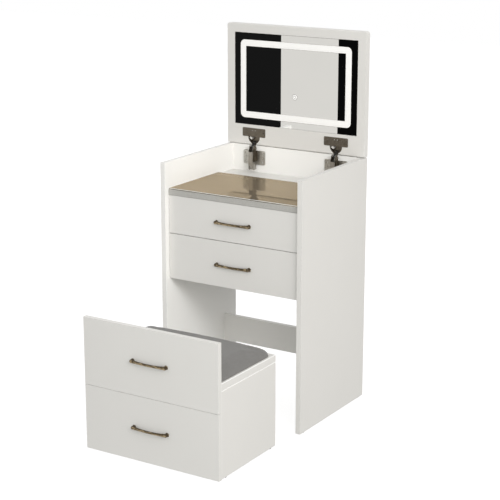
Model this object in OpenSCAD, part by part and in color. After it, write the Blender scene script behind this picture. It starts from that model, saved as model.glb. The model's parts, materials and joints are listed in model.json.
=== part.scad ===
// Flip-top vanity table: a narrow cabinet with a mirror in its lid, two drawers, and a stool that
// stores under the drawers behind a front that matches them.
// Frame: +Z up, front towards -Y, origin on the floor under the centre of the whole object, with
// the lid open and the stool out. Inside the modules y = 0 is the front edge of the side panels.

/* [Cabinet] */
// Overall width across the side panels
cab_w = 500; // [490:1:520]
// Depth of the side panels
cab_d = 400; // [400:1:420]
// Height of the side panels' top edges
cab_h = 782; // [780:1:784]
// Thickness of the cabinet boards
board_t = 16; // [15.5:0.5:16.5]
// Height of the plastic glides
glide_h = 2; // [1:0.5:3]
// Height of the rear stretcher board
stretcher_h = 88; // [70:1:100]
// Height of the stretcher's lower edge
stretcher_z = 125; // [100:1:140]

/* [Desk] */
// Height of the desk board's top
desk_top = 696; // [694:0.5:697]
// Distance from the side panels' front edges back to the desk's front edge
desk_setback = 18; // [16:1:20]
// Depth of the glass on the desk board
glass_d = 276; // [250:1:290]
// Thickness of the glass
glass_t = 5; // [4:0.5:6]

/* [Drawers] */
// Lower edge of the lower drawer front
drawers_z = 415; // [413:0.5:418]
// Height of the lower drawer front
lower_front_h = 143; // [138:1:143]
// Height of the upper drawer front
upper_front_h = 119; // [110:1:119]
// Distance from the side panels' front edges back to the drawer fronts
front_setback = 19; // [18:0.5:20]
// Depth of a drawer box behind its front
drawer_d = 310; // [300:1:320]
// Thickness of the drawer box boards
drawer_t = 12; // [12:0.5:13]
// Length of a telescopic runner
runner_l = 300; // [290:1:305]

/* [Handles] */
// Distance between a handle's two posts
handle_span = 115; // [110:1:120]
// Reach of the bow in front of the board
handle_reach = 18; // [17:0.5:20]
// Thickness of the bow
handle_bar = 8; // [7:0.5:9]

/* [Lid] */
// Length of the lid, hinge edge to far edge
lid_l = 386.5; // [384:0.5:388]
// Thickness of the lid
lid_t = 22; // [22:0.5:24]
// Radius of the lid's far corners
lid_corner = 9; // [6:1:12]
// Width of the mirror
mirror_w = 444; // [430:1:450]
// Height of the mirror
mirror_h = 294; // [285:1:295]
// Distance from the lid's hinge edge to the mirror
mirror_margin = 64.5; // [62:0.5:66]
// Outer width of the frosted light band
band_w = 400; // [390:1:410]
// Outer height of the frosted light band
band_h = 249; // [240:1:252]
// Width of the band itself
band_t = 20; // [16:1:22]

/* [Hinges] */
// Distance of each hinge from the middle of the cabinet
hinge_x = 150; // [130:1:160]
// Gap between the closed lid and the side panels
lid_gap = 2; // [2:0.25:2.5]
// Swing of a hinge's outer link
outer_swing = 9; // [8.8:0.1:9.2]
// Radius of the hinge cup
cup_r = 20; // [19.5:0.5:20]

/* [Stool] */
// Width of the stool's front
stool_w = 464; // [456:1:464]
// Height of the stool's front
stool_h = 406; // [400:1:408]
// Overall depth of the stool
stool_d = 305; // [295:1:306]
// Thickness of the stool boards
stool_t = 15; // [14.5:0.5:15]
// Height of the seat board's top
seat_z = 286; // [280:1:290]
// Thickness of the seat board
seat_t = 22; // [18:1:24]
// Thickness of the cushion
cushion_t = 30; // [26:1:34]
// Distance the stool stands pulled out
stool_out = 436; // [400:1:450]

/* [Hidden] */
$fn = 48;
hole_fn = 32;
clear = 0.05;
inner_x = cab_w / 2 - board_t;
back_y = cab_d - board_t;

// Hinge geometry in the Y-Z plane, points as [y, z], with the lid open as drawn.
lid_y = back_y - 4.5;
lid_z = cab_h + 2.5;
closed_rear = cab_d - 7.5;
closed_z = cab_h + lid_gap;
outer_root = [back_y - 6, cab_h - 8.5];
lid_turn = 90;
// Depth into the lid and distance from its hinge edge of the inner link's pin
inner_pin_depth = 4;
inner_pin_edge = 7;
// Distance from the middle of the inner pin's two end positions to its fixed pivot
inner_reach = 20;

function turn(a, p, c) = c + [cos(a) * (p.x - c.x) - sin(a) * (p.y - c.y),
                              sin(a) * (p.x - c.x) + cos(a) * (p.y - c.y)];
// Where a point of the closed lid lies once the lid has opened by a quarter turn
function opened(p) = [lid_y + p.y - closed_z, lid_z + closed_rear - p.x];
// Centre of the turn by angle m that carries [0, 0] to t
function turn_centre(m, t) = let (k = sin(m) / (1 - cos(m))) [t.x - k * t.y, k * t.x + t.y] / 2;

outer_tip_closed = turn_centre(outer_swing - lid_turn, turn(outer_swing, opened([0, 0]), outer_root));
outer_tip = opened(outer_tip_closed);
inner_tip_closed = [closed_rear - inner_pin_edge, closed_z + inner_pin_depth];
inner_tip = opened(inner_tip_closed);
inner_chord = inner_tip - inner_tip_closed;
inner_root = (inner_tip + inner_tip_closed) / 2
    - inner_reach * [inner_chord.y, -inner_chord.x] / norm(inner_chord);

cup_z = lid_z + 24;
cup_depth = 14.5;
cup_wall = 1;
cup_screw_x = 33;
cup_screw_z = cup_z + 16;
arm_w = 16;
arm_foot_z = cab_h - 77;
arm_front_y = back_y - 26;
arm_screw_z = cab_h - 66;
plate_y = back_y - 3.5;
plate_t = 1.2;
pin_r = 1.25;
root_pin_r = 1.5;

// Drawers: [lower edge of the front, height of the front, lower edge of the box, height of the box]
upper = [drawers_z + lower_front_h + 2, upper_front_h, drawers_z + lower_front_h + 14, 84];
lower = [drawers_z, lower_front_h, drawers_z + 16, 104];
front_y = front_setback + board_t;
box_x = inner_x - 13;
bottom_t = 4;
bottom_lift = 8;
runner_h = 45;
post_l = 8;
post_r = 5.5;
handle_rise = handle_reach - post_l - handle_bar / 2;
handle_r = (pow(handle_span / 2, 2) + pow(handle_rise, 2)) / 2 / handle_rise;

stool_y = front_setback + 1 - stool_out;
stool_x = stool_w / 2 - 1;
stool_back = stool_y + stool_d;
seam_z = 200;
cam_r = 7.5;
cam_depth = 12;
cam_inset = 24;

row_y = -(stool_y - handle_reach + lid_y + lid_t) / 2;

// ---- Shared shapes ----

// A box given by its ranges along X, Y and Z
module slab(x, y, z) {
    translate([x[0], y[0], z[0]]) cube([x[1] - x[0], y[1] - y[0], z[1] - z[0]]);
}

module on_both_sides() {
    children();
    mirror([1, 0, 0]) children();
}

module at_hinges() {
    for (s = [-1, 1]) translate([s * hinge_x, 0, 0]) children();
}

// A round rod along +Y from y
module rod_y(x, y, z, r, l) {
    translate([x, y, z]) rotate([-90, 0, 0]) cylinder(r = r, h = l, $fn = hole_fn);
}

// A round rod along X, centred on x = 0 at the point p = [y, z]
module rod_x(p, r, l) {
    translate([-l / 2, p.x, p.y]) rotate([0, 90, 0]) cylinder(r = r, h = l, $fn = hole_fn);
}

// An outline in the Y-Z plane given a thickness along X
module plate_x(x0, x1) {
    translate([x0, 0, 0]) rotate([90, 0, 90]) linear_extrude(x1 - x0) children();
}

module round_corner_rect(w, h, r) {
    translate([r, 0]) square([w - 2 * r, h]);
    translate([0, r]) square([w, h - 2 * r]);
    for (x = [r, w - r], y = [r, h - r]) translate([x, y]) circle(r, $fn = hole_fn);
}

// A bar along a line of points, with a round eye of radius r at each point
module bar_outline(points, w, r) {
    for (i = [1:len(points) - 1]) {
        d = points[i] - points[i - 1];
        translate(points[i - 1]) rotate(atan2(d.y, d.x)) translate([0, -w / 2]) square([norm(d), w]);
    }
    for (p = points) translate(p) circle(r, $fn = hole_fn);
}

module pan_screw(head_r, head_h, shank_r, shank_l) {
    cylinder(r = head_r, h = head_h, $fn = hole_fn);
    translate([0, 0, -shank_l]) cylinder(r = shank_r, h = shank_l, $fn = hole_fn);
}

// ---- Cam fasteners ----

// Each row: [y, z, direction]; 1 = cam in the board's back face, 0 = cam in its underside
cam_sites = [
    [60, desk_top - board_t / 2, 0], [340, desk_top - board_t / 2, 0],
    [back_y + board_t / 2, 450, 1], [back_y + board_t / 2, 740, 1],
    [336, stretcher_z + stretcher_h / 2, 1]
];

module cam_cylinder(site, r) {
    x = inner_x - cam_inset;
    if (site[2] == 1) rod_y(x, site[0] + board_t / 2 - cam_depth, site[1], r, cam_depth);
    else translate([x, site[0], site[1] - board_t / 2]) cylinder(r = r, h = cam_depth, $fn = hole_fn);
}

module cam_bolt(site, r, l) {
    translate([inner_x + 10, site[0], site[1]]) rotate([0, -90, 0])
        cylinder(r = r, h = l, $fn = hole_fn);
}

module cam_bores() {
    on_both_sides() for (site = cam_sites) {
        cam_cylinder(site, cam_r);
        cam_bolt(site, 3.5, 34);
    }
}

module cabinet_cam_locks() {
    color("silver") on_both_sides() for (site = cam_sites) difference() {
        cam_cylinder(site, cam_r - clear);
        cam_bolt(site, 3.5, 36);
    }
}

module cabinet_cam_bolts() {
    color("lightgray") on_both_sides() for (site = cam_sites) cam_bolt(site, 3, 32);
}

// ---- Cabinet ----

module side_panel() {
    difference() {
        slab([inner_x, cab_w / 2], [0, cab_d], [glide_h, cab_h]);
        for (site = cam_sites) cam_bolt(site, 3 + clear, 34);
        for (d = [upper, lower]) runner_screw_holes(d);
    }
}

module left_side_panel() {
    color("whitesmoke") mirror([1, 0, 0]) side_panel();
}

module right_side_panel() {
    color("whitesmoke") side_panel();
}

module back_panel() {
    color("white") difference() {
        slab([-inner_x, inner_x], [back_y, cab_d], [drawers_z, cab_h]);
        cam_bores();
        at_hinges() plate_screws(clear);
    }
}

module desk_board() {
    color("white") difference() {
        slab([-inner_x, inner_x], [desk_setback + 2, back_y], [desk_top - board_t, desk_top]);
        cam_bores();
    }
}

module desk_edge_trim() {
    color("darkgray") slab([-inner_x, inner_x], [desk_setback, desk_setback + 2],
                           [desk_top - board_t, desk_top]);
}

module desk_glass() {
    color("tan") slab([1 - inner_x, inner_x - 1], [desk_setback + 0.5, desk_setback + 0.5 + glass_d],
                      [desk_top, desk_top + glass_t]);
}

module rear_stretcher() {
    color("white") difference() {
        slab([-inner_x, inner_x], [336 - board_t / 2, 336 + board_t / 2],
             [stretcher_z, stretcher_z + stretcher_h]);
        cam_bores();
    }
}

module cabinet_glides() {
    color("gray") on_both_sides() for (y = [25, cab_d - 25])
        translate([inner_x + board_t / 2, y, 0]) cylinder(r = board_t / 2 - 1, h = glide_h);
}

// ---- Hinges ----

module plate_screws(extra) {
    for (x = [-31, 31]) translate([x, plate_y, cab_h - 39]) rotate([90, 0, 0])
        pan_screw(4, 1.8, 1.9 + extra, 13);
}

module hinge_plates() {
    wing_z = cab_h - 62;
    color("gainsboro") at_hinges() difference() {
        union() {
            translate([-40, back_y, wing_z]) rotate([90, 0, 0]) linear_extrude(back_y - plate_y)
                round_corner_rect(80, 46, 5);
            slab([-6.5, 6.5], [arm_front_y + 5, back_y - 3], [wing_z - 10, wing_z + 36]);
        }
        for (x = [-31, 31]) {
            rod_y(x, back_y - 5, cab_h - 39, 1.9 + clear, 10);
            for (z = [-14, 14]) rod_y(x, back_y - 5, cab_h - 39 + z, 2.5, 10);
        }
        rod_y(0, arm_front_y + 4, arm_screw_z, 1.9 + clear, 9);
    }
}

// A folded channel, its front cut away above the plate, with an adjuster's housing on one side
module hinge_arm() {
    wall = 1.2;
    throat_z = cab_h - 18;
    top_z = cab_h + 0.5;
    outline = [[arm_front_y, arm_foot_z + 4], [arm_front_y + 4, arm_foot_z], [plate_y, arm_foot_z],
               [plate_y, cab_h - 16], [back_y - 2, cab_h - 13], [back_y - 2, cab_h - 6],
               [inner_root.x + 4, top_z], [inner_root.x - 3.5, top_z],
               [inner_root.x - 3.5, cab_h - 6], [arm_front_y, throat_z]];
    color("dimgray") difference() {
        union() {
            plate_x(-arm_w / 2, arm_w / 2) polygon(outline);
            slab([0, arm_w / 2 + 4.5], [arm_front_y + 5, plate_y], [cab_h - 50, throat_z + 2]);
        }
        slab([wall - arm_w / 2, arm_w / 2 - wall], [arm_front_y + wall, back_y],
             [arm_foot_z - 1, throat_z + 1]);
        slab([wall - arm_w / 2, arm_w / 2 - wall], [arm_front_y - 1, back_y], [throat_z, top_z + 1]);
        rod_x(outer_root, root_pin_r + clear, 30);
        rod_x(inner_root, pin_r + clear, 30);
        rod_y(0, arm_front_y - 1, arm_screw_z, 5, 4);
    }
}

module left_hinge_arm() {
    translate([-hinge_x, 0, 0]) hinge_arm();
}

module right_hinge_arm() {
    translate([hinge_x, 0, 0]) hinge_arm();
}

module hinge_plate_screws() {
    color("silver") at_hinges() {
        plate_screws(0);
        translate([0, arm_front_y + 5, arm_screw_z]) rotate([90, 0, 0]) pan_screw(4.5, 3, 1.9, 7);
    }
}

module hinge_arm_pins() {
    color("silver") at_hinges() {
        rod_x(outer_root, root_pin_r, arm_w);
        rod_x(inner_root, pin_r, arm_w);
    }
}

// Two hooked cheeks that clear the back panel's top edge, joined by a bridge near the arm
module hinge_outer_links() {
    elbow = outer_root + [0.5, 12.5];
    color("gray") at_hinges() difference() {
        union() {
            for (x = [-6.2, 4]) plate_x(x, x + 2.2)
                bar_outline([outer_root, elbow, outer_tip], 4.4, 2.8);
            slab([-4.1, 4.1], [outer_root.x - 1.5, outer_root.x + 1.5],
                 [outer_root.y + 3, outer_root.y + 5.5]);
        }
        rod_x(outer_root, root_pin_r + clear, 20);
        rod_x(outer_tip, pin_r + clear, 20);
    }
}

// One forked bar between the two cheeks; its eye is wide because the closed linkage is opened here
module hinge_inner_links() {
    direction = (inner_tip - inner_root) / norm(inner_tip - inner_root);
    color("gray") at_hinges() difference() {
        plate_x(-2.9, 2.9) {
            bar_outline([inner_root, inner_tip], 4, 2.4);
            translate(inner_tip) circle(4.2, $fn = hole_fn);
        }
        plate_x(-1.5, 1.5) bar_outline([inner_tip - 5.5 * direction, inner_tip + 8 * direction], 10, 5);
        rod_x(inner_root, pin_r + clear, 20);
        rod_x(inner_tip, 3.1, 20);
    }
}

// ---- Lid ----

module lid_outline() {
    translate([-cab_w / 2, 0]) {
        square([cab_w, lid_l - lid_corner]);
        translate([lid_corner, 0]) square([cab_w - 2 * lid_corner, lid_l]);
        for (x = [lid_corner, cab_w - lid_corner]) translate([x, lid_l - lid_corner])
            circle(lid_corner);
    }
}

module lid_blank() {
    edge_r = 3;
    intersection() {
        translate([0, lid_y + lid_t, lid_z]) rotate([90, 0, 0]) linear_extrude(lid_t) lid_outline();
        plate_x(-cab_w, cab_w) translate([lid_y, lid_z]) round_corner_rect(lid_t, lid_l, edge_r);
    }
}

// A flat ring of the light band's shape, from y to y + t
module band_ring(y, t, grow) {
    z = mirror_z() + mirror_h / 2;
    translate([0, y + t, z]) rotate([90, 0, 0]) linear_extrude(t) difference() {
        translate([-band_w / 2 - grow, -band_h / 2 - grow])
            round_corner_rect(band_w + 2 * grow, band_h + 2 * grow, 15);
        translate([band_t + grow - band_w / 2, band_t + grow - band_h / 2])
            square([band_w - 2 * band_t - 2 * grow, band_h - 2 * band_t - 2 * grow]);
    }
}

function mirror_z() = lid_z + mirror_margin;
mirror_t = 4;
mirror_y = lid_y + 0.5;
band_depth = 1;
touch_z = 951;

module cup_slot(extra) {
    rod_y(0, lid_y - 5, cup_z, cup_r + extra, cup_depth + 5 + extra);
    slab([-9 - extra, 9 + extra], [lid_y - 5, lid_y + cup_depth + extra], [lid_z - 5, cup_z]);
}

module lid_board() {
    color("whitesmoke") difference() {
        lid_blank();
        slab([-mirror_w / 2, mirror_w / 2], [lid_y - 1, mirror_y + mirror_t],
             [mirror_z(), mirror_z() + mirror_h]);
        band_ring(mirror_y + mirror_t - 0.01, 4, 0);
        slab([-60, 60], [mirror_y, mirror_y + mirror_t + 9], [mirror_z() + 30, touch_z + 20]);
        slab([-cab_w / 2 - 1, -160], [lid_y + 10, lid_y + 13.5], [touch_z - 5, touch_z + 5]);
        at_hinges() {
            cup_slot(clear);
            rod_y(0, lid_y - 1, cup_z, 21.6, 1 + plate_t);
            for (x = [-1, 1]) rod_y(x * cup_screw_x, lid_y - 1, cup_screw_z, 1.9 + clear, 14);
        }
    }
}

module mirror_glass() {
    color("lightsteelblue") difference() {
        slab([0.3 - mirror_w / 2, mirror_w / 2 - 0.3], [mirror_y, mirror_y + mirror_t],
             [mirror_z() + 0.3, mirror_z() + mirror_h - 0.3]);
        band_ring(mirror_y - 1, band_depth + 1, 0);
        rod_y(0, mirror_y - 1, touch_z, 9, band_depth + 1);
    }
}

module frosted_light_band() {
    color("white") band_ring(mirror_y, band_depth, 0);
}

module led_strip() {
    color("lightyellow") band_ring(mirror_y + mirror_t + 1, 2, -5);
}

module touch_switch() {
    color("white") {
        rod_y(0, mirror_y, touch_z, 9, band_depth);
        slab([-12, 12], [mirror_y + mirror_t, mirror_y + mirror_t + 1.6], [touch_z - 12, touch_z + 12]);
    }
}

module led_driver() {
    color("seagreen") slab([-50, 50], [mirror_y + mirror_t + 2, mirror_y + mirror_t + 8.5],
                           [mirror_z() + 39, touch_z - 16]);
}

module charging_inlet() {
    color("dimgray") difference() {
        slab([-cab_w / 2, -cab_w / 2 + 12], [lid_y + 10.05, lid_y + 13.45], [touch_z - 4.95, touch_z + 4.95]);
        slab([-cab_w / 2 - 1, -cab_w / 2 + 8], [lid_y + 10.8, lid_y + 12.7], [touch_z - 4, touch_z + 4]);
    }
}

// A cup under a flange that covers its upper half; the links reach in through the lower half
module hinge_cup() {
    z = cup_z;
    flange = [85, 28];
    color("dimgray") {
        difference() {
            union() {
                rod_y(0, lid_y, z, cup_r - clear, cup_depth - clear);
                slab([-8.95, 8.95], [lid_y + plate_t, lid_y + cup_depth - clear], [lid_z + 0.5, z]);
                rod_y(0, lid_y, z, 21.5, plate_t);
            }
            rod_y(0, lid_y - 5, z, cup_r - cup_wall, cup_depth + 5 - cup_wall);
            slab([-8, 8], [lid_y - 5, lid_y + cup_depth - cup_wall], [lid_z - 5, z]);
        }
        difference() {
            translate([-flange.x / 2, lid_y, z + 2]) rotate([90, 0, 0]) linear_extrude(plate_t)
                round_corner_rect(flange.x, flange.y, 3);
            for (x = [-1, 1]) rod_y(x * cup_screw_x, lid_y - 5, cup_screw_z, 1.9 + clear, 14);
            for (x = [-5, 5]) rod_y(x, lid_y - 5, z + 22, 1.6, 14);
        }
        difference() {
            union() {
                for (x = [-8, 6.6]) slab([x, x + 1.4], [outer_tip.x - 3, lid_y + cup_depth - 0.5],
                                         [outer_tip.y - 3, outer_tip.y + 3]);
                slab([-1.2, 1.2], [inner_tip.x - 2.4, lid_y + cup_depth - 0.5],
                     [inner_tip.y - 2, inner_tip.y + 2]);
            }
            rod_x(outer_tip, pin_r + clear, 40);
            rod_x(inner_tip, 1 + clear, 40);
        }
    }
}

module left_hinge_cup() {
    translate([-hinge_x, 0, 0]) hinge_cup();
}

module right_hinge_cup() {
    translate([hinge_x, 0, 0]) hinge_cup();
}

module hinge_dampers() {
    color("white") at_hinges() translate([-12.5, lid_y + 1, cup_z - 3]) rotate([0, 28, 0])
        slab([-4.5, 4.5], [0, cup_depth - cup_wall - 1], [-3.5, 3.5]);
}

module hinge_cup_screws() {
    color("silver") at_hinges() for (x = [-1, 1])
        translate([x * cup_screw_x, lid_y - plate_t, cup_screw_z]) rotate([90, 0, 0])
            pan_screw(3.8, 1.8, 1.9, 13);
}

module hinge_cup_pins() {
    color("silver") at_hinges() {
        for (x = [-6.2, 6.2]) translate([x, 0, 0]) rod_x(outer_tip, pin_r, 3.6);
        rod_x(inner_tip, 1, 5.8);
    }
}

// ---- Telescopic runners ----

function runner_z(d) = d[2] + d[3] / 2;

// A channel 45 mm high against the side panel, seen from the front at the panel's inner face
module channel(x0, x1, web, h, y, l, z, t) {
    slab([web, web + t], [y, y + l], [z - h / 2, z + h / 2]);
    for (s = [z - h / 2, z + h / 2 - t]) slab([x0, x1], [y, y + l], [s, s + t]);
}

module runner_channel(d) {
    difference() {
        channel(inner_x - 10, inner_x, inner_x - plate_t, runner_h, front_y + 2, runner_l, runner_z(d),
                plate_t);
        runner_screw_holes(d);
    }
}

module runner_screw_holes(d) {
    for (y = [70, 280]) translate([inner_x - 5, y, runner_z(d)]) rotate([0, 90, 0])
        cylinder(r = 1.9 + clear, h = 16, $fn = hole_fn);
}

module runner_screws() {
    color("silver") on_both_sides() for (d = [upper, lower], y = [70, 280])
        translate([inner_x - plate_t, y, runner_z(d)]) rotate([0, -90, 0]) pan_screw(3.5, 1.8, 1.9, 11);
}

module mid_runner(d) {
    channel(inner_x - 11, inner_x - 4.8, inner_x - 6, 36.4, front_y + 2, runner_l, runner_z(d), plate_t);
}

module drawer_runner(d) {
    difference() {
        channel(inner_x - 13, inner_x - 7.4, inner_x - 13, 30.4, front_y + 2, runner_l, runner_z(d),
                plate_t);
        drawer_runner_holes(d);
    }
}

module drawer_runner_holes(d) {
    for (y = [80, 270]) translate([box_x - 10, y, runner_z(d)]) rotate([0, 90, 0])
        cylinder(r = 1.9 + clear, h = 12, $fn = hole_fn);
}

module upper_runner_channels() { color("silver") on_both_sides() runner_channel(upper); }
module lower_runner_channels() { color("silver") on_both_sides() runner_channel(lower); }
module upper_mid_runners() { color("lightgray") on_both_sides() mid_runner(upper); }
module lower_mid_runners() { color("lightgray") on_both_sides() mid_runner(lower); }
module upper_drawer_runners() { color("silver") on_both_sides() drawer_runner(upper); }
module lower_drawer_runners() { color("silver") on_both_sides() drawer_runner(lower); }

// ---- Drawers ----

function handle_z(d) = d[0] + d[1] / 2 - 3;

module handle_holes(y, l, z, r) {
    for (x = [-handle_span / 2, handle_span / 2]) rod_y(x, y, z, r, l);
}

module drawer_front(d) {
    color("white") difference() {
        slab([1 - inner_x, inner_x - 1], [front_setback, front_y], [d[0], d[0] + d[1]]);
        handle_holes(front_setback - 1, board_t + 2, handle_z(d), 2.2);
    }
}

module drawer_side(d) {
    color("whitesmoke") difference() {
        slab([box_x - drawer_t, box_x], [front_y, front_y + drawer_d], [d[2], d[2] + d[3]]);
        slab([box_x - drawer_t - 1, box_x - drawer_t + 4.5], [front_y - 1, front_y + drawer_d + 1],
             [d[2] + bottom_lift - 0.1, d[2] + bottom_lift + bottom_t + 0.1]);
        drawer_runner_holes(d);
        corner_screws(d, clear);
    }
}

module drawer_back(d) {
    color("whitesmoke") difference() {
        slab([drawer_t - box_x, box_x - drawer_t], [front_y + drawer_d - drawer_t, front_y + drawer_d],
             [d[2] + bottom_lift + bottom_t + 0.1, d[2] + d[3]]);
        corner_screws(d, clear);
    }
}

module drawer_bottom(d) {
    color("white") slab([drawer_t - 4 - box_x, box_x - drawer_t + 4], [front_y + 0.2, front_y + drawer_d],
                        [d[2] + bottom_lift, d[2] + bottom_lift + bottom_t]);
}

// Countersunk screws through the box sides into its back
module corner_screws(d, extra) {
    on_both_sides() for (z = [d[2] + 28, d[2] + d[3] - 14]) {
        translate([box_x - 0.5, front_y + drawer_d - drawer_t / 2, z]) rotate([0, 90, 0])
            pan_screw(3 + extra, 0.5 + extra, 1.7 + extra, 28);
    }
}

module drawer_screws(d) {
    color("silver") {
        corner_screws(d, 0);
        for (x = [-handle_span / 2, handle_span / 2]) translate([x, front_y, handle_z(d)])
            rotate([-90, 0, 0]) pan_screw(4, 2.4, 1.95, board_t + 5);
        on_both_sides() for (y = [80, 270]) translate([box_x + plate_t, y, runner_z(d)])
            rotate([0, 90, 0]) pan_screw(3.5, 1.6, 1.9, 10);
    }
}

// A bow between two round posts that stand on the board's face at y
module bow_handle(y, z) {
    sweep = 2 * asin(handle_span / 2 / handle_r);
    color("darkgoldenrod") difference() {
        union() {
            translate([0, y - post_l - handle_rise + handle_r, z]) rotate([0, 0, -90 - sweep / 2])
                rotate_extrude(angle = sweep, $fn = 128) translate([handle_r, 0])
                    circle(handle_bar / 2, $fn = hole_fn);
            for (x = [-handle_span / 2, handle_span / 2]) {
                rod_y(x, y - post_l, z, post_r, post_l);
                translate([x, y - post_l, z]) sphere(post_r, $fn = hole_fn);
            }
        }
        handle_holes(y - 7, 10, z, 2);
    }
}

module upper_drawer_front() { drawer_front(upper); }
module upper_drawer_left_side() { mirror([1, 0, 0]) drawer_side(upper); }
module upper_drawer_right_side() { drawer_side(upper); }
module upper_drawer_back() { drawer_back(upper); }
module upper_drawer_bottom() { drawer_bottom(upper); }
module upper_drawer_handle() { bow_handle(front_setback, handle_z(upper)); }
module upper_drawer_screws() { drawer_screws(upper); }
module lower_drawer_front() { drawer_front(lower); }
module lower_drawer_left_side() { mirror([1, 0, 0]) drawer_side(lower); }
module lower_drawer_right_side() { drawer_side(lower); }
module lower_drawer_back() { drawer_back(lower); }
module lower_drawer_bottom() { drawer_bottom(lower); }
module lower_drawer_handle() { bow_handle(front_setback, handle_z(lower)); }
module lower_drawer_screws() { drawer_screws(lower); }

// ---- Stool ----

stool_handle_z = [104, 305];
stool_front_z = [[glide_h, seam_z], [seam_z + 1, stool_h]];
stool_inner_y = stool_y + stool_t;
// Depth of the counterbores that take the handle screws' heads
screw_sink = 3;

module stool_front(i) {
    color("white") difference() {
        slab([-stool_w / 2, stool_w / 2], [stool_y, stool_inner_y], stool_front_z[i]);
        handle_holes(stool_y - 1, stool_t + 2, stool_handle_z[i], 2.2);
        handle_holes(stool_inner_y - screw_sink, 5, stool_handle_z[i], 4.2);
    }
}

module stool_upper_front() { stool_front(1); }
module stool_lower_front() { stool_front(0); }

module stool_side() {
    color("whitesmoke") slab([stool_x - stool_t, stool_x], [stool_inner_y, stool_back],
                             [glide_h, seat_z - seat_t]);
}

module stool_left_side() { mirror([1, 0, 0]) stool_side(); }
module stool_right_side() { stool_side(); }

module stool_back() {
    color("whitesmoke") slab([stool_t - stool_x, stool_x - stool_t], [stool_back - stool_t, stool_back],
                             [glide_h, seat_z - seat_t]);
}

module stool_seat_board() {
    color("whitesmoke") slab([-stool_x, stool_x], [stool_inner_y, stool_back], [seat_z - seat_t, seat_z]);
}

module seat_cushion() {
    corner = 36;
    color("gray") translate([0, 0, seat_z]) linear_extrude(cushion_t) {
        translate([2 - stool_x, stool_inner_y + 1])
            round_corner_rect(2 * stool_x - 4, stool_d - stool_t - 4, corner);
        slab_2d([2 - stool_x, stool_x - 2], [stool_inner_y + 1, stool_inner_y + 80]);
    }
}

module slab_2d(x, y) {
    translate([x[0], y[0]]) square([x[1] - x[0], y[1] - y[0]]);
}

module stool_handles() {
    for (z = stool_handle_z) bow_handle(stool_y, z);
}

module stool_screws() {
    color("silver") for (z = stool_handle_z, x = [-handle_span / 2, handle_span / 2])
        translate([x, stool_inner_y - screw_sink, z]) rotate([-90, 0, 0])
            pan_screw(4, 2.4, 1.95, stool_t - screw_sink + 5);
}

module stool_glides() {
    color("gray") on_both_sides() for (y = [stool_inner_y + 25, stool_back - 25])
        translate([stool_x - stool_t / 2, y, 0]) cylinder(r = stool_t / 2 - 1, h = glide_h);
}

// ---- Nodes ----

module placed() {
    translate([0, row_y, 0]) children();
}

placed() left_side_panel();
placed() right_side_panel();
placed() back_panel();
placed() desk_board();
placed() desk_glass();
placed() desk_edge_trim();
placed() rear_stretcher();
placed() cabinet_glides();
placed() cabinet_cam_locks();
placed() cabinet_cam_bolts();
placed() hinge_plates();
placed() left_hinge_arm();
placed() right_hinge_arm();
placed() hinge_plate_screws();
placed() hinge_arm_pins();
placed() upper_runner_channels();
placed() lower_runner_channels();
placed() runner_screws();
placed() hinge_outer_links();
placed() hinge_inner_links();
placed() lid_board();
placed() mirror_glass();
placed() frosted_light_band();
placed() led_strip();
placed() touch_switch();
placed() led_driver();
placed() charging_inlet();
placed() left_hinge_cup();
placed() right_hinge_cup();
placed() hinge_dampers();
placed() hinge_cup_screws();
placed() hinge_cup_pins();
placed() upper_mid_runners();
placed() lower_mid_runners();
placed() upper_drawer_front();
placed() upper_drawer_left_side();
placed() upper_drawer_right_side();
placed() upper_drawer_back();
placed() upper_drawer_bottom();
placed() upper_drawer_runners();
placed() upper_drawer_handle();
placed() upper_drawer_screws();
placed() lower_drawer_front();
placed() lower_drawer_left_side();
placed() lower_drawer_right_side();
placed() lower_drawer_back();
placed() lower_drawer_bottom();
placed() lower_drawer_runners();
placed() lower_drawer_handle();
placed() lower_drawer_screws();
placed() stool_upper_front();
placed() stool_lower_front();
placed() stool_left_side();
placed() stool_right_side();
placed() stool_back();
placed() stool_seat_board();
placed() seat_cushion();
placed() stool_handles();
placed() stool_screws();
placed() stool_glides();
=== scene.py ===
"""Looks of the flip-top vanity table: camera, materials, eased edges, handles, seat cushion, studio."""

import json
import math

import bmesh
import bpy
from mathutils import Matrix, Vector, noise


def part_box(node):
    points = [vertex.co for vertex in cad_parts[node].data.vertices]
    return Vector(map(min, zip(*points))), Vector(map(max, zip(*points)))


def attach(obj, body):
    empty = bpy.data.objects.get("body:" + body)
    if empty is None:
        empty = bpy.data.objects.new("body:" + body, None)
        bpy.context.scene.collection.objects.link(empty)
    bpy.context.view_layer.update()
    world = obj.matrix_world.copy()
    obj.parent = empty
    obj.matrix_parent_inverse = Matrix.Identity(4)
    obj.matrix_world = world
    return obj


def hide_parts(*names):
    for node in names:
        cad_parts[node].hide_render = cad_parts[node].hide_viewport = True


MM = 0.001
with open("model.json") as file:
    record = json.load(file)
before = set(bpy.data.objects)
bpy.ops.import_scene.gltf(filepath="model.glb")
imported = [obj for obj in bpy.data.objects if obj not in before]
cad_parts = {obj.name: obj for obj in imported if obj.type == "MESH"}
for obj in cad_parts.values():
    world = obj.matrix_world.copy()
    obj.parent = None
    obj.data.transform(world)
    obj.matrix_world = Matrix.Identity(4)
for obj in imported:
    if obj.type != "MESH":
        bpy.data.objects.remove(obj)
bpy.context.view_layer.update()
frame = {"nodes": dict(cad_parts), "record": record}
nodes = frame["nodes"]


def new_object(name, data):
    """A new object in the scene."""
    made = bpy.data.objects.new(name, data)
    bpy.context.scene.collection.objects.link(made)
    return made


# ---- Camera ----


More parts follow.
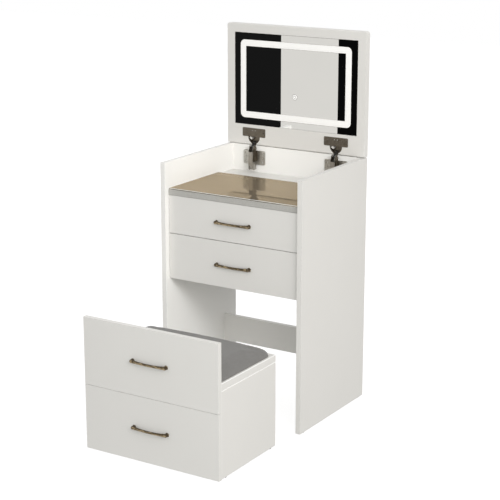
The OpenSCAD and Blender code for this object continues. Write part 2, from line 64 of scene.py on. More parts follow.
def make_camera():
    """A long lens from the front right, a little above the desk."""
    data = bpy.data.cameras.new("camera")
    data.sensor_width = 36
    data.lens = 104.92
    data.clip_start, data.clip_end = 0.1, 60
    camera = new_object("camera", data)
    camera.location = (2.2929, -3.5254, 1.6793)
    forward = Vector((-0.51283, 0.81804, -0.26040))
    camera.rotation_euler = forward.to_track_quat("-Z", "Y").to_euler()
    bpy.context.scene.camera = camera


# ---- Materials ----


class Graph:
    """Short calls for building a node tree."""

    def __init__(self, tree):
        self.tree = tree

    def add(self, kind, inputs, output=0, **settings):
        """A new node; inputs is a list of socket, value pairs. Returns one of its outputs."""
        node = self.tree.nodes.new(kind)
        for setting, value in settings.items():
            setattr(node, setting, value)
        for socket, value in inputs:
            if isinstance(value, bpy.types.NodeSocket):
                self.tree.links.new(value, node.inputs[socket])
            else:
                node.inputs[socket].default_value = value
        return node.outputs[output]

    def math(self, operation, a, b=0.0):
        return self.add("ShaderNodeMath", [(0, a), (1, b)], operation=operation)

    def parts(self, vector):
        """The x, y and z of a vector."""
        return [self.add("ShaderNodeSeparateXYZ", [("Vector", vector)], output=i) for i in range(3)]

    def within(self, value, middle, reach):
        """1 where the value is less than reach from the middle, 0 elsewhere."""
        return self.math("LESS_THAN", self.math("ABSOLUTE", self.math("SUBTRACT", value, middle)), reach)

    def graded(self, value, low, high, start=0.3, stop=0.7):
        """Maps start..stop, by default a noise's usual range, to low..high."""
        usual = [("Value", value), ("From Min", start), ("From Max", stop)]
        return self.add("ShaderNodeMapRange", usual + [("To Min", low), ("To Max", high)])

    def mixed(self, share, a, b):
        """Colour a where share is 0, b where it is 1."""
        a, b = ((*c, 1) if isinstance(c, tuple) else c for c in (a, b))
        inputs = [("Factor", share), (6, a), (7, b)]
        return self.add("ShaderNodeMix", inputs, output=2, data_type="RGBA")


class Surface(Graph):
    """A material with one Principled shader, and short calls for its procedural texture."""

    def __init__(self, name, **sockets):
        self.material = bpy.data.materials.new(name)
        self.material.use_nodes = True
        super().__init__(self.material.node_tree)
        self.shader = self.tree.nodes["Principled BSDF"]
        self.places = self.add("ShaderNodeTexCoord", [], output="Object")
        for socket, value in sockets.items():
            self.set(socket.replace("_", " "), value)

    def set(self, socket, value):
        """Gives a shader socket a plain value, or the result of other nodes."""
        target = self.shader.inputs[socket]
        if isinstance(value, bpy.types.NodeSocket):
            self.tree.links.new(value, target)
        elif isinstance(value, tuple) and len(value) == 3:
            target.default_value = (*value, 1)
        else:
            target.default_value = value
        return self

    def grain(self, size_mm, detail=2.0, stretch=(1, 1, 1)):
        """Noise about 0.5 with features of about that size; stretch lengthens them along an axis."""
        scale = [1 / (s * size_mm * MM) for s in stretch]
        place = self.add("ShaderNodeMapping", [("Vector", self.places), ("Scale", scale)])
        return self.add("ShaderNodeTexNoise", [("Vector", place), ("Scale", 1.0), ("Detail", detail)])

    def bumped(self, height, depth_mm, strength=1.0):
        """Relief of that depth."""
        inputs = [("Height", height), ("Distance", depth_mm * MM), ("Strength", strength)]
        return self.set("Normal", self.add("ShaderNodeBump", inputs))


def white_lacquer(name, tint, roughness):
    """Satin lacquer on board: a trace of orange peel and of unevenness in the spray."""
    s = Surface(name, IOR=1.46)
    cloud = s.graded(s.grain(160, 3), 0, 1)
    s.set("Base Color", s.mixed(cloud, tint, tuple(0.985 * c for c in tint)))
    s.set("Roughness", s.graded(s.grain(12, 4), roughness - 0.04, roughness + 0.05))
    return s.bumped(s.grain(2.2, 2), 0.02, 0.6).material


def white_foil(name):
    """Paper foil with a faint linen emboss, as inside drawers."""
    s = Surface(name, IOR=1.45)
    threads = s.math("ADD", s.grain(0.7, 1, (1, 18, 1)), s.grain(0.7, 1, (18, 1, 1)))
    s.set("Base Color", s.mixed(s.graded(threads, 0, 1, 0.8, 1.2), (0.80, 0.79, 0.76), (0.76, 0.75, 0.72)))
    s.set("Roughness", s.graded(s.grain(9, 3), 0.48, 0.58))
    return s.bumped(threads, 0.03, 0.5).material


def bronze_glass(name):
    """Bronze reflective glass: a tinted mirror under clear glass, with faint wipe marks."""
    s = Surface(name, Metallic=0.55, IOR=1.12, Specular_Tint=(0.80, 0.70, 0.55))
    cloud = s.graded(s.grain(90, 2, (2, 1, 1)), 0, 1)
    s.set("Base Color", s.mixed(cloud, (0.400, 0.337, 0.248), (0.379, 0.317, 0.232)))
    s.set("Roughness", s.graded(s.grain(30, 4, (3, 1, 1)), 0.0, 0.02, 0.45, 0.75))
    return s.material


def grey_edging(name):
    """Fine-grained grey edging."""
    s = Surface(name, IOR=1.45)
    specks = s.graded(s.grain(1.3, 3), 0, 1, 0.38, 0.62)
    s.set("Base Color", s.mixed(specks, (0.445, 0.438, 0.412), (0.55, 0.542, 0.512)))
    s.set("Roughness", s.graded(specks, 0.45, 0.6, 0, 1))
    return s.bumped(specks, 0.03, 0.5).material


def mirror_silver(name):
    """Silvered glass, with hardly any haze."""
    s = Surface(name, Metallic=1.0)
    haze = s.graded(s.grain(120, 2), 0, 1)
    s.set("Base Color", s.mixed(haze, (0.93, 0.935, 0.93), (0.915, 0.925, 0.92)))
    s.set("Roughness", s.graded(s.grain(25, 4), 0.0, 0.012, 0.5, 0.8))
    return s.material


def lit_frost(name):
    """Etched glass lit from behind: nearly even, a little brighter in patches."""
    s = Surface(name, Roughness=0.55)
    etch = s.grain(0.6, 2)
    s.set("Base Color", s.mixed(s.graded(etch, 0, 1), (0.88, 0.88, 0.86), (0.93, 0.93, 0.91)))
    glow = s.graded(s.grain(14, 1), 0, 1)
    s.set("Emission Color", s.mixed(glow, (1.0, 0.985, 0.955), (0.985, 0.97, 0.94)))
    s.set("Emission Strength", 0.19)
    return s.bumped(etch, 0.01, 0.4).material


def touch_mark(name):
    """The switch's mark: an etched ring and dot in silvered glass, with light behind them; the silvered
    glass round them glows faintly too, which is painted light.
    """
    ring_radius, ring_half_width, dot_radius = 6.2 * MM, 1.0 * MM, 2.2 * MM
    silver = 0.85
    s = Surface(name, Roughness=0.12)
    low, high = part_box("touch_switch")
    middle = (low + high) / 2
    centre = (0, middle.y, middle.z)
    offset = s.add("ShaderNodeVectorMath", [(0, s.places), (1, centre)], operation="SUBTRACT")
    flat = s.add("ShaderNodeVectorMath", [(0, offset), (1, (1, 0, 1))], operation="MULTIPLY")
    radius = s.add("ShaderNodeVectorMath", [(0, flat)], output="Value", operation="LENGTH")
    on_ring = s.within(radius, ring_radius, ring_half_width)
    etched = s.math("MAXIMUM", on_ring, s.math("LESS_THAN", radius, dot_radius))
    s.set("Base Color", s.mixed(etched, (0.90, 0.90, 0.88), (0.95, 0.95, 0.94)))
    s.set("Metallic", s.math("SUBTRACT", silver, s.math("MULTIPLY", etched, silver)))
    # The etched ring and dot glow from the light behind them; the silver round them glows at half that,
    # painted light
    s.set("Emission Color", s.mixed(etched, (0.5, 0.5, 0.49), (1.0, 1.0, 0.98)))
    s.set("Emission Strength", 0.35)
    return s.bumped(s.math("MULTIPLY", etched, -1), 0.02, 0.3).material


def light_emitters(name):
    """A tape with small yellow emitters along it."""
    s = Surface(name, Roughness=0.4)
    in_a_metre, spot_radius = 90.0, 0.18
    cells = s.add("ShaderNodeTexVoronoi", [("Vector", s.places), ("Scale", in_a_metre)], output="Distance")
    spot = s.math("LESS_THAN", cells, spot_radius)
    s.set("Base Color", s.mixed(spot, (0.85, 0.85, 0.82), (0.85, 0.70, 0.25)))
    s.set("Emission Color", (1.0, 0.97, 0.90))
    s.set("Emission Strength", 0.6)
    return s.bumped(spot, 0.2, 0.6).material


def circuit_board(name):
    """Green solder mask over faint tracks."""
    s = Surface(name, Coat_Weight=0.5, IOR=1.5)
    tracks = s.add("ShaderNodeTexBrick", [("Vector", s.places), ("Scale", 260.0)], output="Fac")
    s.set("Base Color", s.mixed(tracks, (0.02, 0.11, 0.05), (0.05, 0.22, 0.10)))
    s.set("Roughness", s.graded(s.grain(4, 2), 0.25, 0.4))
    return s.bumped(tracks, 0.05, 0.5).material


def plated_steel(name, dark, light, roughness, speck_mm):
    """Plated pressed steel: speckled, streaked along the pressing, duller where handled."""
    s = Surface(name, Metallic=0.95, IOR=2.0)
    specks = s.graded(s.grain(speck_mm, 3), 0, 1, 0.35, 0.65)
    streaks = s.grain(1.0, 2, (1, 1, 14))
    s.set("Base Color", s.mixed(specks, dark, light))
    uneven = s.math("ADD", specks, streaks)
    s.set("Roughness", s.graded(uneven, roughness - 0.08, roughness + 0.12, 0.4, 1.6))
    return s.bumped(uneven, 0.03, 0.5).material


def arm_steel_painted_shade(name):
    """Nickel on the hinge arms' channels; painted shade darkens their throats and the adjusters' housings.
    """
    nickel = ((0.27, 0.25, 0.22), (0.50, 0.48, 0.45))
    # The bronze colour here is the painted shade
    bronze = ((0.085, 0.07, 0.052), (0.20, 0.17, 0.13))
    channel_half, throat_depth, ragged = 8.1 * MM, 15 * MM, 4 * MM
    s = Surface(name, Metallic=0.95, IOR=2.0)
    specks = s.graded(s.grain(2.4, 3), 0, 1, 0.35, 0.65)
    x, _, z = s.parts(s.places)
    low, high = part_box("left_hinge_arm")
    hinge_x = -(low.x + channel_half)
    aside = s.math("ABSOLUTE", s.math("SUBTRACT", s.math("ABSOLUTE", x), hinge_x))
    ragged_z = s.math("ADD", z, s.math("MULTIPLY", specks, ragged))
    painted_shade_throat = s.math("GREATER_THAN", ragged_z, high.z - throat_depth)
    # Painted shade: dark outside the channel and in the throat
    dark = s.math("MAXIMUM", s.math("GREATER_THAN", aside, channel_half), painted_shade_throat)
    s.set("Base Color", s.mixed(dark, s.mixed(specks, *nickel), s.mixed(specks, *bronze)))
    s.set("Roughness", s.graded(specks, 0.30, 0.46, 0, 1))
    return s.bumped(specks, 0.04, 0.5).material


def moulded_plastic(name, colour, roughness):
    """Moulded plastic with a fine spark-eroded grain."""
    s = Surface(name, IOR=1.48)
    grain = s.grain(0.5, 2)
    shade = tuple(0.93 * c for c in colour)
    s.set("Base Color", s.mixed(s.graded(s.grain(18, 2), 0, 1), colour, shade))
    s.set("Roughness", s.graded(grain, roughness - 0.05, roughness + 0.06))
    return s.bumped(grain, 0.02, 0.5).material


def antique_bronze(name):
    """Dark patina, rubbed through to gold in patches, more of them on faces turned forwards and down."""
    s = Surface(name, Metallic=1.0, IOR=2.0)
    facing = s.add("ShaderNodeNewGeometry", [], output="Normal")
    forwards_and_down = (0.0, -0.75, -0.65)
    towards = [(0, facing), (1, forwards_and_down)]
    # How far a face turns forwards and down; gold patches are more likely there
    turned_forwards_down = s.add("ShaderNodeVectorMath", towards, output="Value", operation="DOT_PRODUCT")
    patches = s.math("ADD", s.grain(3.5, 4, (2.5, 1, 1)), s.math("MULTIPLY", turned_forwards_down, 0.14))
    rubbed = s.graded(patches, 0, 1, 0.52, 0.70)
    patina = s.mixed(s.graded(s.grain(1.1, 3), 0, 1), (0.070, 0.052, 0.034), (0.125, 0.098, 0.064))
    s.set("Base Color", s.mixed(rubbed, patina, (0.46, 0.36, 0.22)))
    s.set("Roughness", s.graded(rubbed, 0.46, 0.28, 0, 1))
    return s.bumped(s.grain(0.8, 3), 0.05, 0.5).material


def woven_cloth(name):
    """Plain grey weave of mixed yarns: threads over and under each other, laid along each face."""
    s = Surface(name, IOR=1.4, Sheen_Weight=0.25, Sheen_Roughness=0.5)
    pitch = 1.5 * MM
    spin = s.add("ShaderNodeMapping", [("Vector", s.places), ("Scale", (math.pi / pitch,) * 3)])
    waves = [s.math("SINE", part) for part in s.parts(spin)]
    lean = s.parts(s.add("ShaderNodeNewGeometry", [], output="Normal"))
    weave = 0.0
    for i in range(3):
        crossing = s.math("MULTIPLY", waves[(i + 1) % 3], waves[(i + 2) % 3])
        share = s.math("MULTIPLY", crossing, s.math("MULTIPLY", lean[i], lean[i]))
        weave = s.math("ADD", weave, share)
    yarn = s.math("ADD", s.grain(1.5, 2, (9, 1, 9)), s.grain(1.5, 2, (1, 9, 9)))
    light = s.mixed(s.graded(yarn, 0, 1, 0.75, 1.25), (0.203, 0.200, 0.192), (0.238, 0.234, 0.225))
    s.set("Base Color", s.mixed(s.graded(weave, 0.35, 0, -1, 1), light, (0.115, 0.113, 0.108)))
    s.set("Roughness", s.graded(weave, 0.95, 0.82, -1, 1))
    slubs = s.math("ADD", weave, s.math("MULTIPLY", s.grain(5, 3, (4, 1, 4)), 0.8))
    return s.bumped(slubs, 0.25, 0.7).material


# The look of each material slot
looks = {
    "white_board": white_lacquer("white_lacquer", (0.830, 0.820, 0.790), 0.42),
    "drawer_board": white_foil("white_foil"),
    "desk_glass": bronze_glass("bronze_glass"),
    "grey_edging": grey_edging("grey_edging_strip"),
    "mirror": mirror_silver("mirror_silver"),
    "frosted_light": lit_frost("lit_frost"),
    "led": light_emitters("light_emitters"),
    "driver": circuit_board("solder_mask"),
    "dark_metal": plated_steel("dark_nickel", (0.10, 0.085, 0.065), (0.24, 0.21, 0.17), 0.36, 1.6),
    "zinc": plated_steel("zinc_plate", (0.42, 0.41, 0.38), (0.62, 0.61, 0.58), 0.34, 2.0),
    "white_plastic": moulded_plastic("white_nylon", (0.80, 0.79, 0.76), 0.4),
    "grey_plastic": moulded_plastic("grey_nylon", (0.18, 0.18, 0.175), 0.5),
    "bronze": antique_bronze("antique_bronze"),
    "seat_fabric": woven_cloth("grey_weave"),
}
black_nylon = moulded_plastic("black_nylon", (0.022, 0.022, 0.022), 0.35)
arm_metal_painted_shade = arm_steel_painted_shade("nickel_with_painted_shade")
# What the eased edges of a slot's pieces are made of, where that differs from their faces: painted
# highlight on the boards and the desk glass, painted shade on the mirror and the zinc plates
PAINTED_EDGE_LIGHT_AND_SHADE = {
    # The boards' edges: a painted highlight, lacquer much paler than the faces
    "white_board": white_lacquer("eased_lacquer_painted_highlight", (0.985, 0.98, 0.965), 0.3),
    # The desk glass's edge: a painted highlight, pale lacquer standing in for the edge's reflection
    "desk_glass": white_lacquer("glass_edge_painted_highlight", (0.86, 0.87, 0.85), 0.12),
    # The mirror's edge: painted shade, a dark brown rim
    "mirror": plated_steel("mirror_rim_painted_shade", (0.07, 0.055, 0.04), (0.16, 0.125, 0.085), 0.4, 1.2),
    # The zinc plates' edges: painted shade in dark brown
    "zinc": plated_steel("zinc_edge_painted_shade", (0.14, 0.115, 0.08), (0.27, 0.235, 0.18), 0.4, 1.2),
}


# ---- CAD nodes: materials, eased edges, smooth round faces ----


def smoothing_group(angle):
    """Geometry nodes that drop the imported normals and smooth every edge under that angle."""
    group = bpy.data.node_groups.new("smooth_by_angle", "GeometryNodeTree")
    group.interface.new_socket("Geometry", in_out="INPUT", socket_type="NodeSocketGeometry")
    group.interface.new_socket("Geometry", in_out="OUTPUT", socket_type="NodeSocketGeometry")
    make = group.nodes.new
    start, end = make("NodeGroupInput"), make("NodeGroupOutput")
    drop = make("GeometryNodeRemoveAttribute")
    drop.inputs["Name"].default_value = "custom_normal"
    faces, edges = make("GeometryNodeSetShadeSmooth"), make("GeometryNodeSetShadeSmooth")
    edges.domain = "EDGE"
    edge_angle, blunt = make("GeometryNodeInputMeshEdgeAngle"), make("FunctionNodeCompare")
    blunt.operation = "LESS_THAN"
    blunt.inputs["B"].default_value = angle
    group.links.new(start.outputs[0], drop.inputs["Geometry"])
    group.links.new(drop.outputs[0], faces.inputs["Geometry"])
    group.links.new(faces.outputs[0], edges.inputs["Geometry"])
    group.links.new(edge_angle.outputs["Unsigned Angle"], blunt.inputs["A"])
    group.links.new(blunt.outputs[0], edges.inputs["Shade Smooth"])
    group.links.new(edges.outputs[0], end.inputs[0])
    return group


# Edges under the first angle are smooth, and edges over the second are rounded
SMOOTHING = smoothing_group(math.radians(32))
ROUNDED_OVER = math.radians(40)
# Faces that differ by less are one flat face, and points that are closer are one point
FLAT_UNDER = math.radians(0.6)
ONE_POINT = 0.002 * MM


def ease(piece, width_mm, edge_slot=-1):
    """Joins the faces that the CAD split, rounds the sharp edges and smooths the rest."""
    weld = piece.modifiers.new("weld", "WELD")
    weld.merge_threshold = ONE_POINT
    smooth = piece.modifiers.new("smooth", "NODES")
    smooth.node_group = SMOOTHING
    flats = piece.modifiers.new("flats", "DECIMATE")
    flats.decimate_type = "DISSOLVE"
    flats.angle_limit = FLAT_UNDER
    if width_mm:
        round_off = piece.modifiers.new("eased_edges", "BEVEL")
        round_off.width = width_mm * MM
        round_off.segments = 3
        round_off.limit_method = "ANGLE"
        round_off.angle_limit = ROUNDED_OVER
        round_off.use_clamp_overlap = True
        round_off.harden_normals = True
        round_off.material = edge_slot
    even = piece.modifiers.new("even_faces", "WEIGHTED_NORMAL")
    even.keep_sharp = True


# How wide the eased edges of each slot's pieces are
EASED_MM = {"white_board": 2.0, "drawer_board": 0.6, "desk_glass": 1.2, "grey_edging": 0.5, "mirror": 0.9,
            "frosted_light": 0.1, "driver": 0.3, "dark_metal": 0.35, "zinc": 0.3, "white_plastic": 0.8,
            "grey_plastic": 0.4, "bronze": 0, "led": 0.2, "seat_fabric": 0}


def dress_cad_nodes():
    """Gives each CAD node its slot's material and eased edges, and a few nodes looks of their own."""
    for part in frame["record"]["subparts"]:
        node, slot = nodes[part["node"]], part["material_slot"]
        node.data.materials.clear()
        node.data.materials.append(looks[slot])
        # A second material on the eased edges paints a highlight or shade on them
        if slot in PAINTED_EDGE_LIGHT_AND_SHADE:
            node.data.materials.append(PAINTED_EDGE_LIGHT_AND_SHADE[slot])
            ease(node, EASED_MM[slot], edge_slot=1)
        else:
            ease(node, EASED_MM[slot])
    # The arms get nickel with painted shade on their sides and throats
    for arm in ("left_hinge_arm", "right_hinge_arm"):
        nodes[arm].data.materials[0] = arm_metal_painted_shade
    nodes["hinge_inner_links"].data.materials[0] = black_nylon
    nodes["hinge_cup_screws"].data.materials[0] = looks["dark_metal"]
    touch = nodes["touch_switch"]
    touch.data.materials.clear()
    touch.data.materials.append(touch_mark("touch_mark"))


# ---- Pieces built here ----


def ring(bm, centre, axis_a, axis_b, sides):
    """A loop of new vertices round the centre, on the ellipse with those two half axes."""
    turns = [2 * math.pi * k / sides for k in range(sides)]
    return [bm.verts.new(centre + math.cos(t) * axis_a + math.sin(t) * axis_b) for t in turns]


def skin(bm, rings):
    """Faces between neighbouring rings, and one on each end."""
    sides = len(rings[0])
    for a, b in zip(rings, rings[1:]):
        for k in range(sides):
            bm.faces.new((a[k], a[(k + 1) % sides], b[(k + 1) % sides], b[k]))
    bm.faces.new(list(reversed(rings[0])))
    bm.faces.new(rings[-1])


def tube(bm, centres, radii, across, sides=28):
    """A closed tube through the centres, with two radii at each; the second lies along across."""
    rings = []
    for i, (centre, (r_side, r_across)) in enumerate(zip(centres, radii)):
        along = (centres[min(i + 1, len(centres) - 1)] - centres[max(i - 1, 0)]).normalized()
        side = along.cross(across).normalized()
        rings.append(ring(bm, centre, r_side * side, r_across * across, sides))
    skin(bm, rings)


def lathe(bm, centre, axis, profile, sides=32):
    """Turns (distance along axis, radius) points round an axis through the centre."""
    side = axis.orthogonal().normalized()
    other = axis.cross(side)
    skin(bm, [ring(bm, centre + along * axis, r * side, r * other, sides) for along, r in profile])


def finish_mesh(bm, name):
    """The mesh of what was built, smooth round its sides and flat on its ends."""
    bmesh.ops.recalc_face_normals(bm, faces=bm.faces)
    for face in bm.faces:
        face.smooth = len(face.verts) == 4
    mesh = bpy.data.meshes.new(name)
    bm.to_mesh(mesh)
    bm.free()
    return mesh


POST_RADIUS = 5.5 * MM
POST_LENGTH = 8 * MM
BAR_RADIUS = 4 * MM
# (distance from the board, radius) in millimetres: foot, waist, bead and shoulder of a handle's post
POST_PROFILE = [(0, 6.1), (0.5, 6.4), (1.1, 6.2), (1.6, 5.2), (2.1, 4.5), (2.7, 4.6)]
# The post's round end: the share of a half turn where it starts, and how many steps it takes
ROUND_START, ROUND_STEPS = 0.18, 12
# Half thickness of the bow in millimetres, front to back and up: in its middle, and what its ends add
BOW_MIDDLE, BOW_END = (3.1, 3.8), (1.6, 1.5)
BOW_STEPS = 48
# The bow's beads: how far they stand out in millimetres, their place and width as shares of half the bow
BEAD, BEAD_PLACE, BEAD_WIDTH = 0.5, 0.84, 0.035


def handle(bm, face_y, reach, half_span, z):
    """A bow on two turned posts: thick round ends, a slimmer flattened middle."""
    rise = reach - POST_LENGTH - BAR_RADIUS
    radius = (half_span**2 + rise**2) / (2 * rise)
    centre_y = face_y - POST_LENGTH - rise + radius
    half_turn = math.asin(half_span / radius)
    centres, radii = [], []
    for i in range(BOW_STEPS + 1):
        share = 2 * i / BOW_STEPS - 1
        angle = half_turn * share
        centres.append(Vector((radius * math.sin(angle), centre_y - radius * math.cos(angle), z)))
        bead = BEAD * math.exp(-((abs(share) - BEAD_PLACE) / BEAD_WIDTH) ** 2)
        radii.append([(middle + end * share**4 + bead) * MM for middle, end in zip(BOW_MIDDLE, BOW_END)])
    tube(bm, centres, radii, Vector((0, 0, 1)))
    profile = [(along * MM, r * MM) for along, r in POST_PROFILE]
    for k in range(1, ROUND_STEPS):
        angle = math.pi * (ROUND_START + (1 - ROUND_START) * k / ROUND_STEPS)
        profile.append((POST_LENGTH - POST_RADIUS * math.cos(angle), POST_RADIUS * math.sin(angle)))
    for side in (-1, 1):
        lathe(bm, Vector((side * half_span, face_y, z)), Vector((0, -1, 0)), profile)


def make_handles():
    """The drawers' handles, and the stool's two in one piece."""
    for name, body, node in (("upper_drawer_pull", "upper_drawer", "upper_drawer_handle"),
                             ("lower_drawer_pull", "lower_drawer", "lower_drawer_handle"),
                             ("stool_pulls", "stool", "stool_handles")):
        low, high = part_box(node)
        heights = {round(z, 4) for z in (low.z + POST_RADIUS, high.z - POST_RADIUS)}
        bm = bmesh.new()
        for z in sorted(heights):
            handle(bm, high.y, high.y - low.y, high.x - POST_RADIUS, z)
        pulls = new_object(name, finish_mesh(bm, name))
        pulls.data.materials.append(looks["bronze"])
        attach(pulls, body)
        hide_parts(node)


# The cushion before it is blown up: mesh size, corner radius, shoulder width, and how many times narrower
# the front's shoulder is; its size as shares of its CAD outline's; its thickness as shares of the CAD
# thickness, at the edge and what the middle adds
CUSHION_VOXEL = 5 * MM
CUSHION_CORNER = 36 * MM
CUSHION_SHOULDER = 45 * MM
FRONT_STEEPNESS = 2.5
SMALLER_X, SMALLER_Y = 0.988, 0.980
EDGE_SHARE, MIDDLE_SHARE = 0.30, 0.42
# The simulation: its steps, how high from the seat board the cloth is held, how far a point may move
CLOTH_STEPS = 20
HELD_HEIGHT = 2.5 * MM
CUSHION_CAP = 13 * MM
# Wrinkles: (waves in a metre, share of the height) and their height
WRINKLES = ((22, 0.5), (60, 0.2))
WRINKLE_HEIGHT = 0.8 * MM
# How far the cushion may stand out of its CAD solid, and its gap from the seat board
SIDE_ROOM, TOP_ROOM, SEAT_GAP = 0.6 * MM, 4.0 * MM, 0.05 * MM


def from_edge(co, low, high):
    """How far inside the outline a point is; the back corners are round, the front ones square."""
    middle = (low + high) / 2
    at_back = co.y > middle.y
    corner = CUSHION_CORNER if at_back else 0.0
    inside_x = high.x - corner - abs(co.x)
    inside_y = (high.y - corner - co.y) if at_back else (co.y - low.y) * FRONT_STEEPNESS
    if inside_x < 0 and inside_y < 0:
        return corner - math.hypot(inside_x, inside_y)
    return corner + min(inside_x, inside_y)


def cushion_start():
    """The cushion's CAD outline, thinner and with a round shoulder, meshed evenly for the simulation."""
    low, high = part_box("seat_cushion")
    mesh = nodes["seat_cushion"].data.copy()
    middle = (low + high) / 2
    for vertex in mesh.vertices:
        vertex.co.x = middle.x + (vertex.co.x - middle.x) * SMALLER_X
        vertex.co.y = middle.y + (vertex.co.y - middle.y) * SMALLER_Y
    pad = new_object("seat_pad", mesh)
    remesh = pad.modifiers.new("even", "REMESH")
    remesh.mode = "VOXEL"
    remesh.voxel_size = CUSHION_VOXEL
    apply_modifiers(pad)
    for vertex in pad.data.vertices:
        share = min(1.0, max(0.0, from_edge(vertex.co, low, high)) / CUSHION_SHOULDER)
        thickness = EDGE_SHARE + MIDDLE_SHARE * math.sqrt(1 - (1 - share) ** 2)
        vertex.co.z = low.z + (vertex.co.z - low.z) * thickness
    return pad


def apply_modifiers(piece):
    """Replaces a piece's mesh by its evaluated one, with no modifier left."""
    evaluated = piece.evaluated_get(bpy.context.evaluated_depsgraph_get())
    mesh = bpy.data.meshes.new_from_object(evaluated)
    piece.modifiers.clear()
    piece.data = mesh


def inflate(pad, low):
    """Blows the pad up as cloth, held round its underside; caps how far each point went, then calms it."""
    rest = [v.co.copy() for v in pad.data.vertices]
    held = pad.vertex_groups.new(name="held")
    held.add([v.index for v in pad.data.vertices if v.co.z < low.z + HELD_HEIGHT], 1.0, "REPLACE")
    cloth = pad.modifiers.new("cloth", "CLOTH")
    cloth.settings.quality = 6
    cloth.settings.mass = 0.4
    cloth.settings.tension_stiffness = cloth.settings.compression_stiffness = 18
    cloth.settings.bending_stiffness = 1.5
    cloth.settings.vertex_group_mass = "held"
    cloth.settings.use_pressure = True
    cloth.settings.uniform_pressure_force = 4
    cloth.settings.effector_weights.gravity = 0
    cloth.point_cache.frame_start, cloth.point_cache.frame_end = 1, CLOTH_STEPS
    scene = bpy.context.scene
    for step in range(1, CLOTH_STEPS + 1):
        scene.frame_set(step)
    apply_modifiers(pad)
    scene.frame_set(1)
    for vertex, start in zip(pad.data.vertices, rest):
        move = vertex.co - start
        if move.length > CUSHION_CAP:
            vertex.co = start + move.normalized() * CUSHION_CAP
    calm = pad.modifiers.new("calm", "SMOOTH")
    calm.factor = 0.5
    calm.iterations = 20
    calm.vertex_group = "held"
    calm.invert_vertex_group = True
    apply_modifiers(pad)


def make_cushion():
    """A foam pad under sewn cloth over the whole seat board."""
    low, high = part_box("seat_cushion")
    pad = cushion_start()
    inflate(pad, low)
    for vertex in pad.data.vertices:
        co = vertex.co
        wrinkle = sum(share * noise.noise(co * waves) for waves, share in WRINKLES)
        rise = max(0.0, (co.z - low.z) / (high.z - low.z))
        co.z += wrinkle * WRINKLE_HEIGHT * min(1.0, rise)
        co.x = min(max(co.x, low.x - SIDE_ROOM), high.x + SIDE_ROOM)
        co.y = min(max(co.y, low.y), high.y + SIDE_ROOM)
        co.z = min(max(co.z, low.z + SEAT_GAP), high.z + TOP_ROOM)
    pad.data.polygons.foreach_set("use_smooth", [True] * len(pad.data.polygons))
    finer = pad.modifiers.new("finer", "SUBSURF")
    finer.levels = finer.render_levels = 1
    pad.data.materials.clear()
    pad.data.materials.append(looks["seat_fabric"])
    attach(pad, "stool")
    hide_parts("seat_cushion")


# ---- Studio ----


def add_light(name, place, target, size, watts, colour):
    """A soft box that lights the object and isn't seen itself, not even in the mirror."""
    data = bpy.data.lights.new(name, "AREA")
    data.shape = "RECTANGLE"
    data.size, data.size_y = size
    data.energy = watts
    data.color = colour
    light = new_object(name, data)
    light.location = place
    light.rotation_euler = (Vector(target) - Vector(place)).to_track_quat("-Z", "Y").to_euler()
    light.visible_camera = False
    light.visible_glossy = False
    return light


# The dome's light where a direction points lowest and highest, and the heights where those are reached
DOME_LOW, DOME_HIGH = (0.38, 0.38, 0.372), (0.665, 0.665, 0.67)
DOME_START, DOME_STOP = -0.35, 0.6
# What the mirror sees: a pale card between two parts of a dark flag, and paper around them.
# Bearings run from -Y towards -X, and the flag's level is the height of a direction.
CARD_START, CARD_STOP = math.radians(28.61), math.radians(30.86)
FLAG_BEARING, FLAG_HALF_WIDTH = math.radians(30.4), math.radians(6)
FLAG_LEVEL, FLAG_HALF_HEIGHT = -0.145, 0.115
CARD_PAPER, SEEN_PAPER = (0.735, 0.715, 0.68), (0.90, 0.895, 0.88)
FLAG_BEFORE, FLAG_PAST = (0.003, 0.003, 0.003), (0.009, 0.009, 0.009)
WHITE = (1.0, 1.0, 1.0)


def make_world():
    """White behind the object, soft light from above, and dark flags round a pale card for the mirror."""
    world = bpy.data.worlds.new("studio")
    bpy.context.scene.world = world
    world.use_nodes = True
    world.node_tree.nodes.clear()
    graph = Graph(world.node_tree)
    x, y, z = graph.parts(graph.add("ShaderNodeTexCoord", [], output="Generated"))
    height = graph.graded(z, 0, 1, DOME_START, DOME_STOP)
    dome = graph.mixed(height, DOME_LOW, DOME_HIGH)
    bearing = graph.math("ARCTAN2", graph.math("MULTIPLY", x, -1), graph.math("MULTIPLY", y, -1))
    past_start = graph.math("GREATER_THAN", bearing, CARD_START)
    card = graph.math("MULTIPLY", past_start, graph.math("LESS_THAN", bearing, CARD_STOP))
    across = graph.within(bearing, FLAG_BEARING, FLAG_HALF_WIDTH)
    on_flag = graph.math("MULTIPLY", across, graph.within(z, FLAG_LEVEL, FLAG_HALF_HEIGHT))
    dark = graph.math("MULTIPLY", on_flag, graph.math("SUBTRACT", 1.0, card))
    flag = graph.mixed(past_start, FLAG_BEFORE, FLAG_PAST)
    seen = graph.mixed(dark, graph.mixed(card, SEEN_PAPER, CARD_PAPER), flag)
    in_mirrors = graph.mixed(graph.add("ShaderNodeLightPath", [], output="Is Glossy Ray"), dome, seen)
    final = graph.mixed(graph.add("ShaderNodeLightPath", [], output="Is Camera Ray"), in_mirrors, WHITE)
    background = graph.add("ShaderNodeBackground", [("Color", final), ("Strength", 1.0)])
    output = graph.tree.nodes.new("ShaderNodeOutputWorld")
    graph.tree.links.new(background, output.inputs["Surface"])


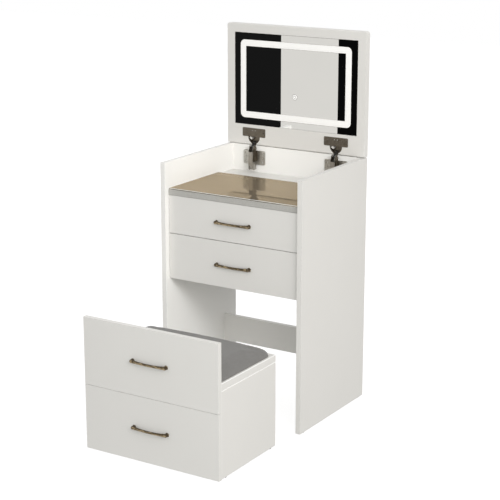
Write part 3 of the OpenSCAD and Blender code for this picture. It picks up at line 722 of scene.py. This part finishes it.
def make_floor():
    """Pale paper on the floor that gives off light, so that only a faint contact shadow shows."""
    bm = bmesh.new()
    bmesh.ops.create_grid(bm, x_segments=8, y_segments=8, size=9)
    mesh = bpy.data.meshes.new("floor")
    bm.to_mesh(mesh)
    bm.free()
    floor = new_object("floor", mesh)
    paper = Surface("floor_paper", Roughness=0.9)
    cloud = paper.graded(paper.grain(60, 3), 0, 1)
    paper.set("Base Color", paper.mixed(cloud, (0.36, 0.36, 0.36), (0.38, 0.38, 0.38)))
    paper.set("Emission Color", WHITE)
    paper.set("Emission Strength", 0.8)
    paper.bumped(paper.grain(3, 2), 0.02, 0.3)
    mesh.materials.append(paper.material)
    floor.visible_diffuse = False
    floor.visible_glossy = False


# Soft boxes: name, place, where each points, size, watts, colour
LIGHTS = (
    ("key", (2.6, -2.4, 2.2), (0, 0, 0.5), (1.6, 1.6), 48.5, (1.0, 0.985, 0.97)),
    ("right", (3.4, -0.8, 1.9), (0, 0, 0.6), (2.0, 2.4), 25.5, (1.0, 0.95, 0.88)),
    ("front", (-0.6, -4.2, 1.9), (0, 0, 0.6), (2.6, 2.2), 4.6, (1.0, 0.98, 0.93)),
    ("low_front", (1.2, -3.2, 0.5), (0, 0, 0.3), (1.6, 0.8), 10.6, (0.99, 1.0, 0.95)),
    ("behind", (-2.6, 3.0, 1.9), (0, 0, 0.6), (2.4, 2.4), 30.0, WHITE),
)
WALL_FILL = ("wall_fill", (2.2, -1.3, 1.8), (-0.24, 0.1, 0.6), (0.8, 0.8), 29.5, (0.94, 0.965, 1.0))
# The fill on the desk: its x, its height over the glass, where it points, its size and watts
DESK_FILL_X, DESK_FILL_LIFT = -0.08, 3.5 * MM
DESK_FILL_AIM = Vector((-0.4, 0, 1))
DESK_FILL_SIZE, DESK_FILL_WATTS = (0.28, 0.2), 0.17


def make_studio():
    """The surroundings, the soft boxes, and two fills that light only the walls of the compartment."""
    bpy.context.scene.view_settings.view_transform = "Standard"
    make_world()
    make_floor()
    for light in LIGHTS:
        add_light(*light)
    low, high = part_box("desk_glass")
    middle = (low + high) / 2
    place = Vector((DESK_FILL_X, middle.y, high.z + DESK_FILL_LIFT))
    fills = (
        add_light(*WALL_FILL),
        add_light("desk_fill", place, place + DESK_FILL_AIM, DESK_FILL_SIZE, DESK_FILL_WATTS, WHITE),
    )
    walls = bpy.data.collections.new("compartment_walls")
    for wall in ("left_side_panel", "back_panel"):
        walls.objects.link(nodes[wall])
    for fill in fills:
        fill.light_linking.receiver_collection = walls


make_camera()
make_studio()
dress_cad_nodes()
make_handles()
make_cushion()
